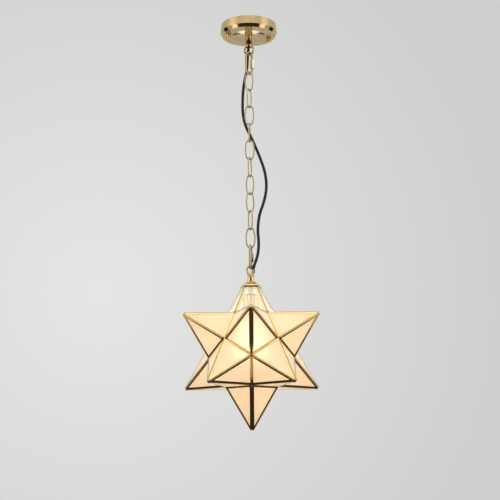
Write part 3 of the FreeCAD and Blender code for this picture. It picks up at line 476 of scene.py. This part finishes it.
# The star has 12 points: one up, one down, and a ring of five above and below its middle. The
# rings' points rise or sink by POINT_RISE and reach out by POINT_REACH, for a length of 1.
POINT_RISE = 0.4472
POINT_REACH = 0.8944
UPPER_RING_TURN = -90
LOWER_RING_TURN = -54
RING_PITCH = 72
# Two neighbouring points lie 63.4 degrees apart, and all others much more.
NEIGHBOUR_ANGLE = 70


def point_directions():
    """Where the star's 12 points aim, from its centre."""
    ways = [Vector((0, 0, 1)), Vector((0, 0, -1))]
    for sign, first in ((1, UPPER_RING_TURN), (-1, LOWER_RING_TURN)):
        for k in range(5):
            turn = math.radians(first + RING_PITCH * k)
            across = POINT_REACH * math.cos(turn), POINT_REACH * math.sin(turn)
            ways.append(Vector((*across, sign * POINT_RISE)))
    return ways


def make_vertex_solder():
    """A flattened drop of solder over each inner vertex, where the cames of three points meet."""
    near = math.cos(math.radians(NEIGHBOUR_ANGLE))
    drop = bmesh.new()
    bmesh.ops.create_icosphere(drop, subdivisions=3, radius=BEAD_RADIUS)
    drop.verts.ensure_lookup_table()
    vertices, faces = [], []
    for trio in itertools.combinations(point_directions(), 3):
        if min(a.dot(b) for a, b in itertools.combinations(trio, 2)) < near:
            continue
        out = sum(trio, Vector()).normalized()
        turned = out.to_track_quat("Z", "Y").to_matrix()
        middle = STAR_CENTRE + out * VERTEX_RADIUS
        first = len(vertices)
        for v in drop.verts:
            flat = Vector((v.co.x, v.co.y, v.co.z * BEAD_FLATNESS))
            vertices.append(middle + turned @ flat)
        faces += [tuple(first + v.index for v in face.verts) for face in drop.faces]
    drop.free()
    obj = add_mesh("vertex_solder", vertices, faces, MATERIALS["solder"])
    obj.data.polygons.foreach_set("use_smooth", [True] * len(faces))
    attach(obj, "star")


make_vertex_solder()

# ---------------------------------------------------------------- studio

WHITE = (1.0, 1.0, 0.99)
# The wall is brightest in this direction, and dims away from it over an angle in radians.
BRIGHTEST = Vector((-0.124, 0.977, 0.171))
BACKDROP_REACH = 0.34
WALL_BRIGHT, WALL_DIM = 0.79, 0.62
# The world's strength as the part's matt surfaces and its metal see it.
LIGHT_ON_MATT, LIGHT_IN_METAL = 0.42, 0.62
FLOOR_Z = -2.6
FLOOR_SIDE = 24.0
FLOOR_LIFT = 0.22


def make_world():
    """A pale wall behind the part, and a softer light on everything else."""
    world = bpy.data.worlds.new("studio")
    bpy.context.scene.world = world
    world.use_nodes = True
    graph = Graph(world.node_tree)
    background = graph.tree.nodes["Background"]
    way = graph.node("TexCoord").outputs["Generated"]
    toward = graph.math("DOT_PRODUCT", way, BRIGHTEST.normalized(), kind="VectorMath")
    angle = graph.math("ARCCOSINE", toward)
    wall = graph.spread(angle, WALL_BRIGHT, WALL_DIM, start=0.0, end=BACKDROP_REACH)
    glossy = graph.any_ray("Is Glossy Ray")
    light = graph.spread(glossy, LIGHT_ON_MATT, LIGHT_IN_METAL, start=0.0, end=1.0)
    seen = graph.any_ray("Is Camera Ray", "Is Transmission Ray")
    graph.feed(background.inputs["Color"], (*WHITE, 1.0))
    graph.feed(background.inputs["Strength"], graph.spread(seen, light, wall, start=0.0, end=1.0))


def make_floor():
    """A pale floor that is lifted a little for the rays that see it, so it stays near the wall."""
    shader = Shader("floor", (0.80, 0.80, 0.79), 0.7, Emission_Color=(*WHITE, 1.0))
    seen = shader.any_ray("Is Camera Ray", "Is Glossy Ray", "Is Transmission Ray")
    shader.set(
        Roughness=shader.spread(shader.noise(scale=3, detail=2), 0.6, 0.8),
        Emission_Strength=shader.spread(seen, 0.0, FLOOR_LIFT, start=0.0, end=1.0),
    )
    corners, faces = rectangle(FLOOR_SIDE, FLOOR_SIDE, FLOOR_Z)
    add_mesh("floor", corners, faces, shader.material)


def softbox(name, place, target, size, watts):
    """A soft light that no reflection shows."""
    data = bpy.data.lights.new(name, "AREA")
    data.shape = "RECTANGLE"
    data.size, data.size_y = size
    data.energy = watts
    obj = add_object(name, data)
    obj.matrix_world = aimed(place, target)
    obj.visible_glossy = False


def card(name, place, target, size, color, emission=0.0):
    """A flat studio card that only reflections and glass see."""
    shader = Shader(name, color, 0.9)
    if emission:
        shader.set(Emission_Color=(*color, 1.0), Emission_Strength=emission)
    obj = add_mesh(name, *rectangle(*size), shader.material)
    obj.matrix_world = aimed(place, target)
    obj.visible_camera = False
    obj.visible_diffuse = False
    obj.visible_shadow = False


make_world()
make_floor()

# The softboxes aim at the part's middle, and the cards at the star or the canopy. The flags give
# the metal its dark lines, and the bright cards its highlights.
MIDDLE = (0, 0, -0.45)
STAR = tuple(STAR_CENTRE)
CANOPY = (0.0, 0.0, -0.02)
DARK = (0.03, 0.02, 0.01)
PALE = (1.0, 0.95, 0.86)
softbox("key", (-1.7, -1.9, 0.9), MIDDLE, (2.0, 1.6), 16)
softbox("fill", (2.0, -1.2, 0.0), MIDDLE, (1.4, 1.8), 8)
card("front_flag", (0.0, -2.9, 0.7), CANOPY, (2.2, 1.7), DARK)
card("low_flag", (0.0, -0.75, -1.42), (0.0, -0.75, 0.0), (2.7, 2.3), DARK)
card("top_card", (0.0, -0.94, 0.95), STAR, (1.2, 0.7), PALE, 1.15)
card("back_card", (0.0, 3.0, -0.55), CANOPY, (0.26, 0.8), PALE, 1.1)
for side in (-1, 1):
    card("side_card", (side * 2.0, -0.7, 0.5), CANOPY, (1.0, 1.6), PALE, 1.5)
    card("low_card", (side * 1.85, -0.85, -1.40), CANOPY, (0.8, 1.0), PALE, 1.0)
    card("side_flag", (side * 2.2, 0.75, -0.75), CANOPY, (0.9, 0.9), DARK)
    card("back_flag", (side * 0.93, 3.0, -0.55), CANOPY, (1.6, 0.8), DARK)
